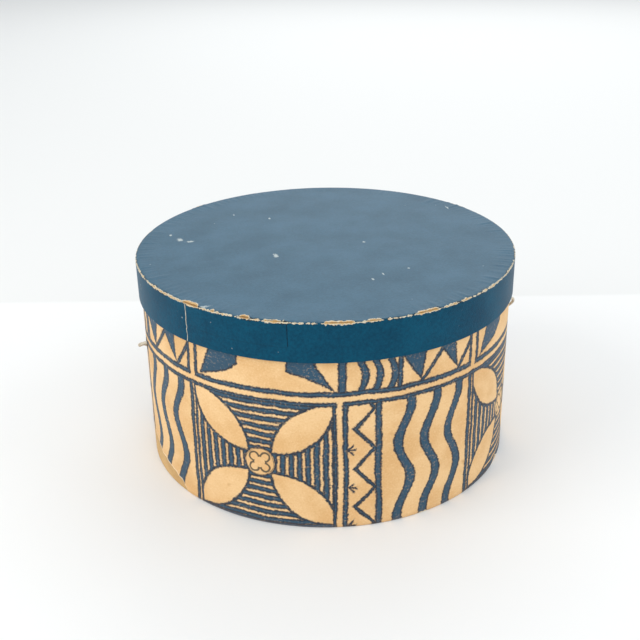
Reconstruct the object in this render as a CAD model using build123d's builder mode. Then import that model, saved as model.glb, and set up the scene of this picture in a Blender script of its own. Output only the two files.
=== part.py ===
"""Round pasteboard hat box with a lift-off lid and a cord handle.

The box stands on its base at z = 0, centred on the Z axis. The two holes for the cord lie on the
X axis. Each wall is a strip of board, bent round, lapped and stitched with wire, then covered
outside and lined inside with paper. All sizes are in millimetres.
"""

import os
from math import cos, degrees, pi, radians, sin, tan

from build123d import *

# ---------------------------------------------------------------- driving sizes
LID_RADIUS = 168.0  # outside of the lid's rim, paper included
TOTAL_HEIGHT = 188.0
RIM_HEIGHT = 34.0
LID_PLAY = 0.6  # radial gap between the wall and the inside of the lid's rim
LID_REST_GAP = 0.05  # between the wall's top edge and the lid's lining

COVER_PAPER = 0.3
LINING_PAPER = 0.25
TAPE = 0.3
RIM_BOARD = 1.5
WALL_BOARD = 1.8
DISC_BOARD = 2.0

TURN_TOP = 10.0  # rim paper turned over onto the lid's top board
TURN_IN = 12.0  # paper turned round an edge to the inside
TURN_UNDER = 14.0  # wall paper turned under the base board
TAPE_LEG = 14.0
DISC_PAPER_MARGIN = 1.4  # how far a paper disc stops inside the edge that it covers

LAP_GLUE_LINE = 0.4  # width of the slanted gap where a board strip laps over itself
LID_LAP = (-125.0, 62.0)  # degrees from +X of the lap's outer end, and its length
WALL_LAP = (70.0, 40.0)

STITCH_WIRE_RADIUS = 0.25
STITCH_BEND = 0.32
STITCH_CROWN = 11.0
STITCH_COVER = 0.03  # board left outside the wire

HOLE_HEIGHT = 113.0
EYELET_BORE = 2.6
EYELET_BARREL = 3.2
EYELET_FLANGE = 5.2
EYELET_METAL = 0.5
CORD_RADIUS = 1.5
KNOT_RADIUS = 4.6
KNOT_FLAT = 0.6  # depth of the flat where the cord comes out of its knot

# ---------------------------------------------------------------- radii and heights, layer by layer
rim_board_outer = LID_RADIUS - COVER_PAPER
rim_board_inner = rim_board_outer - RIM_BOARD
rim_turn_inner = rim_board_inner - COVER_PAPER
rim_lining_inner = rim_turn_inner - LINING_PAPER

wall_outer = rim_lining_inner - LID_PLAY
wall_board_outer = wall_outer - COVER_PAPER
wall_board_inner = wall_board_outer - WALL_BOARD
wall_turn_inner = wall_board_inner - COVER_PAPER
wall_lining_inner = wall_turn_inner - LINING_PAPER

rim_bottom = TOTAL_HEIGHT - RIM_HEIGHT
rim_board_bottom = rim_bottom + COVER_PAPER
top_paper_bottom = TOTAL_HEIGHT - COVER_PAPER
top_board_top = top_paper_bottom - COVER_PAPER
top_board_bottom = top_board_top - DISC_BOARD
lid_tape_bottom = top_board_bottom - TAPE
lid_lining_bottom = lid_tape_bottom - LINING_PAPER

wall_top = lid_lining_bottom - LID_REST_GAP
wall_board_top = wall_top - COVER_PAPER
base_paper_top = COVER_PAPER
wall_board_bottom = base_paper_top + COVER_PAPER
base_board_top = wall_board_bottom + DISC_BOARD
base_tape_top = base_board_top + TAPE
base_lining_top = base_tape_top + LINING_PAPER

os.makedirs("parts", exist_ok=True)
labels = []


def write(part, label):
    """Labels a finished piece and writes it to a STEP file of the same name."""
    part.label = label
    export_step(part, f"parts/{label}.step")
    labels.append(label)


def layer(inner, outer, low, high):
    """One layer of a wall, between two radii and two heights, in the open XZ sketch."""
    with Locations(((inner + outer) / 2, (low + high) / 2)):
        Rectangle(outer - inner, high - low)


def lap_outline(inner, outer, lap):
    """The long thin outline of a lap's glue line, which slants from the outside of the board in."""
    angle, length = lap
    start = radians(angle)
    end = start + length / outer
    margin = 1.0
    outside = Vector(cos(start), sin(start)) * (outer + margin)
    inside = Vector(cos(end), sin(end)) * (inner - margin)
    half = (inside - outside).normalized().rotate(Axis.Z, 90) * (LAP_GLUE_LINE / 2)
    return [outside + half, inside + half, inside - half, outside - half]


def stitch_places(inner, outer, lap, heights):
    """Planes in the middle of the board and of the lap, with X round the wall and Y inwards."""
    angle, length = lap
    turn = radians(angle + degrees(length / outer) / 2)
    middle = (inner + outer) / 2
    return [
        Plane(
            origin=(middle * cos(turn), middle * sin(turn), height),
            x_dir=(-sin(turn), cos(turn), 0),
            z_dir=(0, 0, 1),
        )
        for height in heights
    ]


def stitch_points(inner, outer):
    """A wire stitch: its crown is flush with the board's outside and its legs clinch inside."""
    half = STITCH_CROWN / 2
    curve_drop = outer - (outer**2 - half**2) ** 0.5
    depth = (outer - inner) / 2 - STITCH_WIRE_RADIUS - curve_drop - STITCH_COVER
    clinch = half * 0.55
    return [
        (half - clinch, depth), (half, depth), (half, -depth),
        (-half, -depth), (-half, depth), (clinch - half, depth),
    ]


# ---------------------------------------------------------------- lid: boards and stitches
rim_stitch_heights = [rim_bottom + RIM_HEIGHT * share for share in (0.3, 0.68)]
with BuildPart() as lid_rim_stitches:
    for place in stitch_places(rim_board_inner, rim_board_outer, LID_LAP, rim_stitch_heights):
        with BuildLine(place) as wire:
            FilletPolyline(*stitch_points(rim_board_inner, rim_board_outer), radius=STITCH_BEND)
        with BuildSketch(Plane(origin=wire.line @ 0, z_dir=wire.line % 0)):
            Circle(STITCH_WIRE_RADIUS)
        sweep(path=wire.line)
write(lid_rim_stitches.part, "lid_rim_stitches")

with BuildPart() as lid_rim_board:
    with BuildSketch(Plane.XZ):
        layer(rim_board_inner, rim_board_outer, rim_board_bottom, top_board_top)
    revolve(axis=Axis.Z)
    with BuildSketch(Plane.XY.offset(rim_bottom)):
        with BuildLine():
            Polyline(*lap_outline(rim_board_inner, rim_board_outer, LID_LAP), close=True)
        make_face()
    extrude(amount=RIM_HEIGHT, mode=Mode.SUBTRACT)
    add(lid_rim_stitches.part, mode=Mode.SUBTRACT)
write(lid_rim_board.part, "lid_rim_board")

with BuildPart() as lid_top_board:
    with BuildSketch(Plane.XY.offset(top_board_bottom)):
        Circle(rim_board_inner)
    extrude(amount=DISC_BOARD)
write(lid_top_board.part, "lid_top_board")

# ---------------------------------------------------------------- lid: tape, linings and papers
with BuildPart() as lid_corner_tape:
    with BuildSketch(Plane.XZ):
        layer(rim_board_inner - TAPE_LEG, rim_board_inner, lid_tape_bottom, top_board_bottom)
        layer(rim_turn_inner, rim_board_inner, top_board_bottom - TAPE_LEG, top_board_bottom)
    revolve(axis=Axis.Z)
write(lid_corner_tape.part, "lid_corner_tape")

with BuildPart() as lid_rim_lining:
    with BuildSketch(Plane.XZ):
        layer(
            rim_lining_inner, rim_turn_inner,
            rim_board_bottom + TURN_IN * 0.25, lid_lining_bottom,
        )
    revolve(axis=Axis.Z)
write(lid_rim_lining.part, "lid_rim_lining")

with BuildPart() as lid_top_lining:
    with BuildSketch(Plane.XY.offset(lid_lining_bottom)):
        Circle(rim_turn_inner)
    extrude(amount=LINING_PAPER)
write(lid_top_lining.part, "lid_top_lining")

with BuildPart() as lid_rim_paper:
    with BuildSketch(Plane.XZ):
        layer(rim_board_outer, LID_RADIUS, rim_bottom, top_paper_bottom)
        layer(LID_RADIUS - TURN_TOP, LID_RADIUS, top_board_top, top_paper_bottom)
        layer(rim_turn_inner, LID_RADIUS, rim_bottom, rim_board_bottom)
        layer(rim_turn_inner, rim_board_inner, rim_bottom, rim_bottom + TURN_IN)
    revolve(axis=Axis.Z)
write(lid_rim_paper.part, "lid_rim_paper")

with BuildPart() as lid_top_paper:
    with BuildSketch(Plane.XY.offset(top_paper_bottom)):
        Circle(LID_RADIUS - DISC_PAPER_MARGIN)
    extrude(amount=COVER_PAPER)
write(lid_top_paper.part, "lid_top_paper")

# ---------------------------------------------------------------- box: boards and stitches
wall_height = wall_board_top - wall_board_bottom
wall_stitch_heights = [wall_board_bottom + wall_height * share for share in (0.15, 0.38, 0.61, 0.84)]
with BuildPart() as body_wall_stitches:
    for place in stitch_places(wall_board_inner, wall_board_outer, WALL_LAP, wall_stitch_heights):
        with BuildLine(place) as wire:
            FilletPolyline(*stitch_points(wall_board_inner, wall_board_outer), radius=STITCH_BEND)
        with BuildSketch(Plane(origin=wire.line @ 0, z_dir=wire.line % 0)):
            Circle(STITCH_WIRE_RADIUS)
        sweep(path=wire.line)
write(body_wall_stitches.part, "body_wall_stitches")

with BuildPart() as eyelet_holes:
    with BuildSketch(Plane.YZ.offset(-LID_RADIUS)):
        with Locations((0, HOLE_HEIGHT)):
            Circle(EYELET_BARREL)
    extrude(amount=2 * LID_RADIUS)

with BuildPart() as body_wall_board:
    with BuildSketch(Plane.XZ):
        layer(wall_board_inner, wall_board_outer, wall_board_bottom, wall_board_top)
    revolve(axis=Axis.Z)
    with BuildSketch():
        with BuildLine():
            Polyline(*lap_outline(wall_board_inner, wall_board_outer, WALL_LAP), close=True)
        make_face()
    extrude(amount=TOTAL_HEIGHT, mode=Mode.SUBTRACT)
    add(body_wall_stitches.part, mode=Mode.SUBTRACT)
    add(eyelet_holes.part, mode=Mode.SUBTRACT)
write(body_wall_board.part, "body_wall_board")

with BuildPart() as base_board:
    with BuildSketch(Plane.XY.offset(wall_board_bottom)):
        Circle(wall_board_inner)
    extrude(amount=DISC_BOARD)
write(base_board.part, "base_board")

# ---------------------------------------------------------------- box: tape, linings and papers
with BuildPart() as base_corner_tape:
    with BuildSketch(Plane.XZ):
        layer(wall_board_inner - TAPE_LEG, wall_board_inner, base_board_top, base_tape_top)
        layer(wall_turn_inner, wall_board_inner, base_board_top, base_board_top + TAPE_LEG)
    revolve(axis=Axis.Z)
write(base_corner_tape.part, "base_corner_tape")

with BuildPart() as body_wall_lining:
    with BuildSketch(Plane.XZ):
        layer(wall_lining_inner, wall_turn_inner, base_tape_top, wall_top - TURN_IN * 0.25)
    revolve(axis=Axis.Z)
    add(eyelet_holes.part, mode=Mode.SUBTRACT)
write(body_wall_lining.part, "body_wall_lining")

with BuildPart() as base_lining:
    with BuildSketch(Plane.XY.offset(base_tape_top)):
        Circle(wall_lining_inner)
    extrude(amount=LINING_PAPER)
write(base_lining.part, "base_lining")

with BuildPart() as body_print_paper:
    with BuildSketch(Plane.XZ):
        layer(wall_board_outer, wall_outer, base_paper_top, wall_top)
        layer(wall_outer - TURN_UNDER, wall_outer, base_paper_top, wall_board_bottom)
        layer(wall_turn_inner, wall_outer, wall_board_top, wall_top)
        layer(wall_turn_inner, wall_board_inner, wall_top - TURN_IN, wall_top)
    revolve(axis=Axis.Z)
    add(eyelet_holes.part, mode=Mode.SUBTRACT)
write(body_print_paper.part, "body_print_paper")

with BuildPart() as base_outer_paper:
    with BuildSketch():
        Circle(wall_outer - DISC_PAPER_MARGIN)
    extrude(amount=COVER_PAPER)
write(base_outer_paper.part, "base_outer_paper")

# ---------------------------------------------------------------- cord: eyelets and stopper knots
# An eyelet's flange is flat, so the inner one stands off the round lining by the lining's rise
# across it.
lining_rise = wall_lining_inner - (wall_lining_inner**2 - EYELET_FLANGE**2) ** 0.5
inner_flange = wall_lining_inner - lining_rise
with BuildPart() as eyelet_right:
    with BuildSketch(Plane.XZ):
        with BuildLine():
            Polyline(
                (wall_outer + EYELET_METAL, EYELET_BORE),
                (wall_outer + EYELET_METAL, EYELET_FLANGE),
                (wall_outer, EYELET_FLANGE),
                (wall_outer, EYELET_BARREL),
                (inner_flange, EYELET_BARREL),
                (inner_flange, EYELET_FLANGE),
                (inner_flange - EYELET_METAL, EYELET_FLANGE),
                (inner_flange - EYELET_METAL, EYELET_BORE),
                close=True,
            )
        make_face()
    revolve(axis=Axis.X)
    flange_edges = eyelet_right.edges().filter_by(GeomType.CIRCLE)
    fillet(
        flange_edges.filter_by(lambda edge: edge.radius > EYELET_BARREL + 0.1), EYELET_METAL * 0.4
    )

knot_face = inner_flange - EYELET_METAL
knot_centre = knot_face - KNOT_RADIUS + KNOT_FLAT
with BuildPart() as knot_right:
    with Locations((knot_centre, 0, 0)):
        Sphere(KNOT_RADIUS)
    with Locations((knot_centre - KNOT_RADIUS * 0.35, 0, 0)):
        Sphere(KNOT_RADIUS * 0.92)
    split(bisect_by=Plane.YZ.offset(knot_face), keep=Keep.BOTTOM)

hole_place = Location((0, 0, HOLE_HEIGHT))
write(eyelet_right.part.moved(hole_place), "eyelet_right")
write(eyelet_right.part.mirror(Plane.YZ).moved(hole_place), "eyelet_left")
write(knot_right.part.moved(hole_place), "knot_right")
write(knot_right.part.mirror(Plane.YZ).moved(hole_place), "knot_left")

# ---------------------------------------------------------------- cord: handle
# The slack handle stands out of the right eyelet, hangs round the back of the box, rests on the
# floor there and comes up close along the wall to the left eyelet.
# A point is (degrees from +X, distance from the Z axis, height).
CORD_ON_FLOOR = CORD_RADIUS + 0.1
cord_route = [
    (0, knot_face, HOLE_HEIGHT),
    (0, 173, HOLE_HEIGHT),
    (0.2, 189.5, 111.6),
    (2.8, 192, 100.5),
    (8, 185.5, 89),
    (14.5, 178, 77),
    (22.5, 173, 64),
    (32, 171.2, 50),
    (42.5, 171.6, 35.5),
    (53.5, 174.5, 21.5),
    (65, 180, 9.5),
    (76, 184.5, CORD_ON_FLOOR),
    (88, 186, CORD_ON_FLOOR),
    (100, 183, 2.6),
    (111.5, 178, 8.5),
    (122.5, 173.8, 20.5),
    (133.5, 171.4, 36),
    (144.5, 170.9, 53),
    (155, 170.9, 72),
    (165, 171.3, 91.5),
    (173.5, 172, 104.5),
    (180, 169.9, HOLE_HEIGHT),
    (180, knot_face, HOLE_HEIGHT),
]
cord_points = [
    Vector(reach * cos(radians(turn)), reach * sin(radians(turn)), height)
    for turn, reach, height in cord_route
]
cord_radii = []
for before, here, after in zip(cord_points, cord_points[1:], cord_points[2:]):
    run_in = here - before
    run_out = after - here
    half_turn = radians(run_in.get_angle(run_out)) / 2
    cord_radii.append(0.45 * min(run_in.length, run_out.length) / tan(half_turn))

with BuildPart() as cord_handle:
    with BuildLine() as cord_line:
        FilletPolyline(*cord_points, radius=cord_radii)
    with BuildSketch(Plane(origin=cord_line.line @ 0, z_dir=cord_line.line % 0)):
        Circle(CORD_RADIUS)
    sweep(path=cord_line.line)
write(cord_handle.part, "cord_handle")

cord_length = cord_line.wire().length
swept_volume = pi * CORD_RADIUS**2 * cord_length
print("pieces", len(labels))
print("cord length", round(cord_length, 1))
print("cord radii", [round(radius, 1) for radius in cord_radii])
print("cord volume over section times length", round(cord_handle.part.volume / swept_volume, 4))
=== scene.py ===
"""The looks of a round paper-covered hat box, made in metres round its fixed CAD frame.

Angles are in degrees about Z from +X. The wall's paper strip starts at the back of the box, and
its print is written in millimetres of paper.
"""

from __future__ import annotations

import logging
import math
from collections.abc import Callable, Mapping, Sequence
from dataclasses import dataclass, field
from enum import Enum
from functools import cache

import bmesh
import bpy
from mathutils import Matrix, Vector, noise


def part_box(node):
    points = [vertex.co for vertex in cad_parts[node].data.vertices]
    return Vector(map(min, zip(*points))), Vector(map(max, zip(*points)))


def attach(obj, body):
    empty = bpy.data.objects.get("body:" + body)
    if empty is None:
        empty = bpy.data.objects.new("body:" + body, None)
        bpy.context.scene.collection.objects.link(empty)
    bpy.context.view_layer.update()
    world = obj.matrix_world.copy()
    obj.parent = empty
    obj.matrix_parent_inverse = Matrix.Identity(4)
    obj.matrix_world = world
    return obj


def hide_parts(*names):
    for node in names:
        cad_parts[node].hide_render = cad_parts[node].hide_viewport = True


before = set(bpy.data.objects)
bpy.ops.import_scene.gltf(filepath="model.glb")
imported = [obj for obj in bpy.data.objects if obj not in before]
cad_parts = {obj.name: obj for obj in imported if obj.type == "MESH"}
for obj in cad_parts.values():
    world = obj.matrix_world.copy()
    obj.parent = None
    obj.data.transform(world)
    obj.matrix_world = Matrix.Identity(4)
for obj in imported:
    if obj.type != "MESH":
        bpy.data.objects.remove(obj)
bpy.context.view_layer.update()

MM = 0.001
SEAM_ANGLE = 75.0  # where the covering papers start and end, at the back
log = logging.getLogger("hat_box")


# ---------------------------------------------------------------- small tools
def srgb(red: int, green: int, blue: int) -> tuple[float, float, float, float]:
    """The linear colour of a display colour of 0 to 255 a channel."""
    linear = [
        c / 255 / 12.92 if c <= 10 else ((c / 255 + 0.055) / 1.055) ** 2.4 for c in (red, green, blue)
    ]
    return (*linear, 1.0)


def eased(value: float, low: float, high: float) -> float:
    """A smooth step from 0 at low to 1 at high."""
    share = min(1.0, max(0.0, (value - low) / (high - low)))
    return share * share * (3 - 2 * share)


def turn_from_seam(point: Vector) -> float:
    """How far round from the paper seam a point lies, in radians from 0 to a full turn."""
    return (math.atan2(point.y, point.x) - math.radians(SEAM_ANGLE)) % math.tau


def angle_of(point: Vector) -> float:
    """A point's angle about Z in degrees, from 0 to 360."""
    return math.degrees(math.atan2(point.y, point.x)) % 360


def grain(point: Vector, size: float, seed: float = 0.0) -> float:
    """Smooth noise from about -1 to 1 with features of that size, in the same unit as the point."""
    return noise.noise(Vector((point.x / size, point.y / size, point.z / size + seed)))


# ---------------------------------------------------------------- shader maths
class Signal:
    """A node's output that can be written in Python arithmetic."""

    def __init__(self, graph: Graph, socket: bpy.types.NodeSocket) -> None:
        """Holds the graph that the socket belongs to, and the socket."""
        self.graph = graph
        self.socket = socket

    @property
    def is_value(self) -> bool:
        """Whether the socket carries one number rather than a vector or a colour."""
        return self.socket.type == "VALUE"

    def apply(self, operation: str, *others: Signal | float | Sequence[float]) -> Signal:
        """Adds one Math or Vector Math node.

        Args:
            operation: the node's operation.
            others: its further inputs.

        Returns:
            The node's result.
        """
        parts = [self, *others]
        if all(p.is_value if isinstance(p, Signal) else isinstance(p, (int, float)) for p in parts):
            return self.graph.value("ShaderNodeMath", {"operation": operation}, dict(enumerate(parts)))
        spread = [(p, p, p) if isinstance(p, (int, float)) else p for p in parts]
        return self.graph.value("ShaderNodeVectorMath", {"operation": operation}, dict(enumerate(spread)))

    def __add__(self, other: Signal | float) -> Signal:
        """Sum."""
        return self.apply("ADD", other)

    __radd__ = __add__

    def __sub__(self, other: Signal | float) -> Signal:
        """Difference."""
        return self.apply("SUBTRACT", other)

    def __rsub__(self, other: float) -> Signal:
        """Difference from a number."""
        return self.graph.value("ShaderNodeMath", {"operation": "SUBTRACT"}, {0: other, 1: self})

    def __mul__(self, other: Signal | float) -> Signal:
        """Product."""
        return self.apply("MULTIPLY", other)

    __rmul__ = __mul__

    def __truediv__(self, other: Signal | float) -> Signal:
        """Quotient."""
        return self.apply("DIVIDE", other)

    def __neg__(self) -> Signal:
        """The value with its sign changed."""
        return self * -1.0

    def __abs__(self) -> Signal:
        """The value without its sign."""
        return self.apply("ABSOLUTE")

    def __and__(self, other: Signal | float) -> Signal:
        """Where two shapes overlap: the larger of two distances."""
        return self.apply("MAXIMUM", other)

    def __or__(self, other: Signal | float) -> Signal:
        """Two shapes joined: the smaller of two distances."""
        return self.apply("MINIMUM", other)

    def step(self, low: float, high: float) -> Signal:
        """A smooth step from 0 at low to 1 at high, or from 1 to 0 where low is the larger."""
        first, last = (0.0, 1.0) if low < high else (1.0, 0.0)
        return self.graph.value(
            "ShaderNodeMapRange",
            {"interpolation_type": "SMOOTHSTEP"},
            {0: self, 1: min(low, high), 2: max(low, high), 3: first, 4: last},
        )


class Graph:
    """A material's node tree and the one way in which nodes are added to it."""

    def __init__(self, name: str) -> None:
        """Makes an empty material of that name."""
        self.material = bpy.data.materials.new(name)
        self.material.use_nodes = True
        self.tree = self.material.node_tree
        self.tree.nodes.clear()

    def node(
        self,
        kind: str,
        settings: Mapping[str, object] | None = None,
        inputs: Mapping[str | int, object] | None = None,
    ) -> bpy.types.Node:
        """Adds a node.

        Args:
            kind: the node's type.
            settings: its properties, set first. "stops" holds a ramp's positions and colours.
            inputs: numbers, colours or Signals, by the socket's name or place.

        Returns:
            The node.
        """
        made = self.tree.nodes.new(kind)
        for name, value in (settings or {}).items():
            if name == "stops":
                self._set_stops(made.color_ramp, value)
            else:
                setattr(made, name, value)
        for name, value in (inputs or {}).items():
            if isinstance(value, Signal):
                self.tree.links.new(value.socket, made.inputs[name])
            else:
                made.inputs[name].default_value = value
        return made

    @staticmethod
    def _set_stops(ramp: bpy.types.ColorRamp, stops: Sequence[tuple[float, Sequence[float]]]) -> None:
        """Gives a ramp its stops."""
        while len(ramp.elements) < len(stops):
            ramp.elements.new(1.0)
        for element, (position, colour) in zip(ramp.elements, stops):
            element.position = position
            element.color = colour

    def value(
        self,
        kind: str,
        settings: Mapping[str, object] | None = None,
        inputs: Mapping[str | int, object] | None = None,
        output: str | int = 0,
    ) -> Signal:
        """Adds a node and returns one of its outputs."""
        return Signal(self, self.node(kind, settings, inputs).outputs[output])

    def place(self) -> Signal:
        """Object coordinates, in metres."""
        return self.value("ShaderNodeTexCoord", output="Object")

    def parts(self, vector: Signal) -> tuple[Signal, Signal, Signal]:
        """A vector's three numbers."""
        made = self.node("ShaderNodeSeparateXYZ", None, {0: vector})
        return tuple(Signal(self, made.outputs[i]) for i in range(3))

    def vector(self, x: Signal | float, y: Signal | float, z: Signal | float = 0.0) -> Signal:
        """A vector made of three numbers."""
        return self.value("ShaderNodeCombineXYZ", None, {0: x, 1: y, 2: z})

    def paper(self) -> tuple[Signal, Signal]:
        """Millimetres along and across the paper strip, from the piece's own UV map."""
        u, v, _ = self.parts(self.value("ShaderNodeUVMap", {"uv_map": "paper"}))
        return u * 1000.0, v * 1000.0

    def stored(self, name: str) -> Signal:
        """A number stored on the mesh's points."""
        return self.value("ShaderNodeAttribute", {"attribute_name": name}, None, "Fac")

    def cloud(self, vector: Signal, scale: float, detail: float = 2.0, roughness: float = 0.5) -> Signal:
        """Noise from 0 to 1."""
        return self.value(
            "ShaderNodeTexNoise",
            None,
            {"Vector": vector, "Scale": scale, "Detail": detail, "Roughness": roughness},
        )

    def drift(self, vector: Signal, scale: float, detail: float = 2.0) -> tuple[Signal, Signal]:
        """Two independent noises from about -0.5 to 0.5."""
        made = self.value(
            "ShaderNodeTexNoise", None, {"Vector": vector, "Scale": scale, "Detail": detail}, "Color"
        )
        x, y, _ = self.parts(made)
        return x - 0.5, y - 0.5

    def mix(self, first: object, second: object, share: Signal | float, blend: str = "MIX") -> Signal:
        """A colour between two, second where share is 1."""
        return self.value(
            "ShaderNodeMix",
            {"data_type": "RGBA", "blend_type": blend, "clamp_factor": True},
            {0: share, 6: first, 7: second},
            2,
        )

    def bump(self, height: Signal, depth: float, strength: float = 1.0) -> Signal:
        """A normal from a height of 0 to 1 that stands for that depth in metres."""
        return self.value("ShaderNodeBump", None, {"Strength": strength, "Distance": depth, "Height": height})

    def finish(self, **inputs: object) -> bpy.types.Material:
        """Ends the material in a Principled surface with these inputs, by name."""
        named = {name.replace("_", " "): value for name, value in inputs.items()}
        shader = self.value("ShaderNodeBsdfPrincipled", None, named)
        self.node("ShaderNodeOutputMaterial", None, {"Surface": shader})
        return self.material


def between(x: Signal, low: float, high: float) -> Signal:
    """Distance outside the stretch from low to high, below zero inside it."""
    return abs(x - (low + high) / 2) - (high - low) / 2


def beside(u: Signal, v: Signal, start: tuple[float, float], end: tuple[float, float]) -> Signal:
    """Distance from the line through two points, above zero on its left."""
    run, rise = end[0] - start[0], end[1] - start[1]
    length = math.hypot(run, rise)
    return v * (run / length) - u * (rise / length) + (start[0] * rise - start[1] * run) / length


def far(x: Signal, y: Signal) -> Signal:
    """The length of (x, y)."""
    return (x * x + y * y).apply("SQRT")


# ---------------------------------------------------------------- the wall's block print
@dataclass(frozen=True)
class BlockPrint:
    """A two-register print that repeats round the wall: flower, zigzag and waves below, a border above.

    Every method takes millimetres: u along the repeat, from the flower panel's left edge, and v up
    from the base. It returns a distance that is below zero in the ink.
    """

    repeat: float = 253.0
    flower_start: float = 402.4
    lower_top: float = 118.5
    mirror_height: float = 152.0
    outline: float = 2.5

    def petals(self, x: Signal, y: Signal) -> Signal:
        """Four lens petals along the diagonals, drawn in one folded quarter."""
        length, width, centre = 69.0, 28.5, 49.0
        radius = (length**2 / 4 + width**2 / 4) / width
        along = x * 0.739 + y * 0.673 - centre
        across = abs(y * 0.739 - x * 0.673)
        return far(along, across + (radius - width / 2)) - radius

    def flower(self, u: Signal, v: Signal) -> tuple[Signal, Signal]:
        """The striped flower panel.

        Returns:
            The ink's distance, and that of the thin brown drawing at its heart.
        """
        x, y = abs(u - 59.8), abs(v - 59.3)
        petal = self.petals(x, y)
        upright = (y * 0.739 - x * 0.673).apply("GREATER_THAN", 0.0)
        across = x + (y - x) * upright
        stripe = abs((across + 1.4).apply("FLOORED_MODULO", 7.0) - 3.5) - 1.2
        cream = petal | (stripe & (self.outline - petal))
        reach = far(x, y)
        heart = (far(x - 4.8, y - 4.8) - 4.0) | (reach - 5.6)
        drawing = ((abs(heart) - 0.85) | (abs(reach - 12.2) - 0.2)) & (reach - 12.9)
        foot = between(v, -2.0, 3.2)
        ink = ((-cream) | foot) & (12.9 - reach) & between(u, 0.0, 121.5)
        return ink, drawing

    def zigzag(self, u: Signal, v: Signal) -> Signal:
        """A zigzag that touches the bar at its right, with a bird's foot beside each touch."""
        left, width, rise = 138.0, 16.5, 18.35
        swing = (v - 19.5).apply("PINGPONG", rise)
        line = abs(u - left - swing * (width / rise)) * 0.743 - 1.55
        along, across = u - 132.6, rise - swing
        toes = (abs(across - along * 0.9) * 0.74 - 0.7) & between(along, 0.0, 4.3)
        shank = (across - 0.7) & between(along, 0.0, 6.4)
        marks = (toes | shank) & (v - 92.0)
        return (line | marks) & between(u, 132.0, 155.5)

    def waves(self, u: Signal, v: Signal) -> Signal:
        """Three thick waving bands."""
        gap, half = 24.2, 4.3
        sway = ((v - 110.0) * (math.tau / 70.0)).apply("COSINE") * 6.0
        place = u - sway - 203.8
        nearest = gap / 2 - (place + gap / 2).apply("PINGPONG", gap / 2)
        return (nearest - half) & (abs(place) - (gap * 1.5 - 0.5))

    def bars(self, u: Signal) -> Signal:
        """The lower register's upright bars."""
        stretches = [(120.2, 123.5), (128.2, 132.4), (154.6, 160.0), (245.3, 249.3), (250.7, 254.0)]
        ink = between(u, *stretches[0])
        for stretch in stretches[1:]:
            ink = ink | between(u, *stretch)
        return ink

    def lower(self, u: Signal, v: Signal) -> tuple[Signal, Signal]:
        """The lower register, and the brown drawing in it."""
        flower, drawing = self.flower(u, v)
        figures = (flower | self.zigzag(u, v) | self.waves(u, v) | self.bars(u)) & (v - self.lower_top + 2.0)
        top_line = between(v, self.lower_top - 3.6, self.lower_top) & -between(u, 123.5, 128.2)
        return figures | top_line, drawing

    def blocks(self, u: Signal, v: Signal) -> Signal:
        """The stepped block and the leaf that frame the border's bare plateau."""
        block = (
            -beside(u, v, (7.0, 128.5), (34.0, 137.6))
            & -beside(u, v, (34.0, 137.6), (43.5, 145.5))
            & beside(u, v, (7.0, 128.5), (15.0, 149.0))
            & (u - 43.6)
        )
        bend = (100.0, 140.2)
        under_leaf = -beside(u, v, (84.0, 144.2), bend) | -beside(u, v, bend, (122.5, 128.0))
        leaf = under_leaf & beside(u, v, (109.0, 149.0), (121.8, 127.5)) & (84.0 - u)
        return block | leaf

    def crescents(self, u: Signal, v: Signal) -> Signal:
        """Three bands that bow to the right between two upright bars."""
        gap, half = 12.2, 3.0
        rise = (v - 139.0) / 15.0
        place = u - (1.0 - rise * rise) * 5.5 - 153.0
        nearest = gap / 2 - (place + gap / 2).apply("PINGPONG", gap / 2)
        bands = (nearest - half) & (abs(place) - 16.5)
        return bands | between(u, 124.5, 131.3) | between(u, 172.6, 177.0)

    def wedges(self, u: Signal, v: Signal) -> Signal:
        """Two solid wedges on their points, each with a thin arm at its right."""
        ink = None
        for foot, left, right, arm in ((193.0, 178.0, 198.0, 214.5), (230.0, 213.0, 228.0, 248.0)):
            wedge = beside(u, v, (foot, 128.5), (left, 150.5)) & -beside(u, v, (foot, 128.5), (right, 150.5))
            thin = abs(beside(u, v, (foot + 1.5, 128.5), (arm, 151.5))) - 1.7
            ink = wedge | thin if ink is None else ink | wedge | thin
        return ink & between(u, 177.0, 245.5)

    def upper(self, u: Signal, v: Signal) -> Signal:
        """The border, mirrored about a height that the closed lid hides."""
        folded = self.mirror_height - abs(v - self.mirror_height)
        channel = abs((u + 2.25).apply("WRAP", self.repeat / 2, -self.repeat / 2))
        double = abs(channel - 4.5) - 1.7
        figures = self.blocks(u, folded) | self.crescents(u, folded) | self.wedges(u, folded) | double
        line = between(folded, 123.2, 127.6) & (2.8 - channel)
        return (figures & (126.0 - folded)) | line

    def draw(self, graph: Graph, u: Signal, v: Signal) -> tuple[Signal, Signal]:
        """Puts the whole print on a paper.

        Args:
            graph: the material's graph.
            u: millimetres along the paper, from its seam.
            v: millimetres up from the base.

        Returns:
            The ink's distance, and that of the brown drawing.
        """
        flat = graph.vector(u, v)
        slow_x, slow_y = graph.drift(flat, 0.035, 1.0)
        quick_x, quick_y = graph.drift(flat, 0.22, 2.0)
        pressed_u = u + slow_x * 3.4 + quick_x * 1.3
        pressed_v = v + slow_y * 3.4 + quick_y * 1.3
        place = (pressed_u - self.flower_start).apply("FLOORED_MODULO", self.repeat)
        lower, drawing = self.lower(place, pressed_v)
        upper = self.upper(place, pressed_v) & (self.lower_top + 0.1 - pressed_v)
        swell = (graph.cloud(flat, 0.09, 1.0) - 0.5) * 1.1
        return (lower | upper) + (swell - 0.3), drawing


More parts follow.
